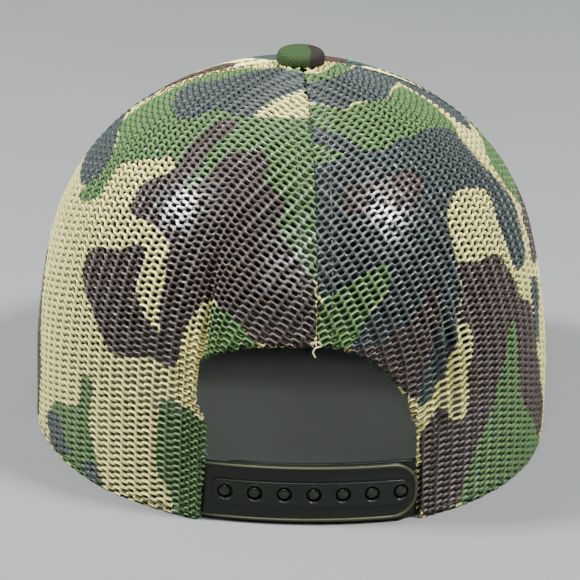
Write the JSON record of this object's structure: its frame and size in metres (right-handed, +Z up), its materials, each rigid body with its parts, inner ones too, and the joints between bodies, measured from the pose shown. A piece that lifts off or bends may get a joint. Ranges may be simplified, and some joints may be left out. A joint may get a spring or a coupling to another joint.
{
  "type": "trucker cap",
  "caption": "Camouflage trucker cap with a foam-backed front, a knitted mesh back over an arched opening, a curved visor, a covered button and a plastic snap closure.",
  "frame": {"origin": "centre of the head opening, in the plane of the hem", "axes": "+Z up towards the button, the visor points along -Y, the snap closure faces +Y, +X is the wearer's left"},
  "size_m": [0.1778, 0.2523, 0.1335],
  "materials": {
    "twill": "printed cotton twill in four camouflage colours, matt",
    "foam": "open-cell foam, matt",
    "mesh": "knitted polyester mesh in four camouflage colours, slightly glossy",
    "tape": "woven cotton tape, matt",
    "sweatband": "brushed cotton, matt",
    "label": "satin ribbon, blank",
    "button_metal": "plain pressed steel",
    "board": "moulded sheet",
    "snap_plastic": "semi-gloss moulded plastic, dark olive"
  },
  "bodies": {
    "cap": {"front_panel": "twill", "front_foam": "foam", "mesh_panel_left": "mesh", "mesh_panel_right": "mesh", "seam_tape_back": "tape", "seam_tape_front_left": "tape", "seam_tape_front_right": "tape", "sweatband_liner": "foam", "sweatband": "sweatband", "size_label": "label", "button_shell": "button_metal", "button_cover": "twill", "button_post": "button_metal", "button_washer": "button_metal", "visor_board": "board", "visor_top_cover": "twill", "visor_under_cover": "twill", "hole_strap_root": "snap_plastic", "peg_strap_root": "snap_plastic"},
    "hole_strap": {"hole_strap": "snap_plastic"},
    "peg_strap": {"peg_strap": "snap_plastic"}
  },
  "joints": [
    {"name": "hole_strap_bend", "type": "hinge", "parent": "cap", "child": "hole_strap", "pos_m": [0.0338, 0.0844, 0], "axis": [0, 0, 1], "range_deg": [-70, 0], "stiffness_Nm_per_rad": 0.02},
    {"name": "peg_strap_bend", "type": "hinge", "parent": "cap", "child": "peg_strap", "pos_m": [-0.0344, 0.08422, 0], "axis": [0, 0, 1], "range_deg": [-25, 0], "stiffness_Nm_per_rad": 0.02}
  ]
}
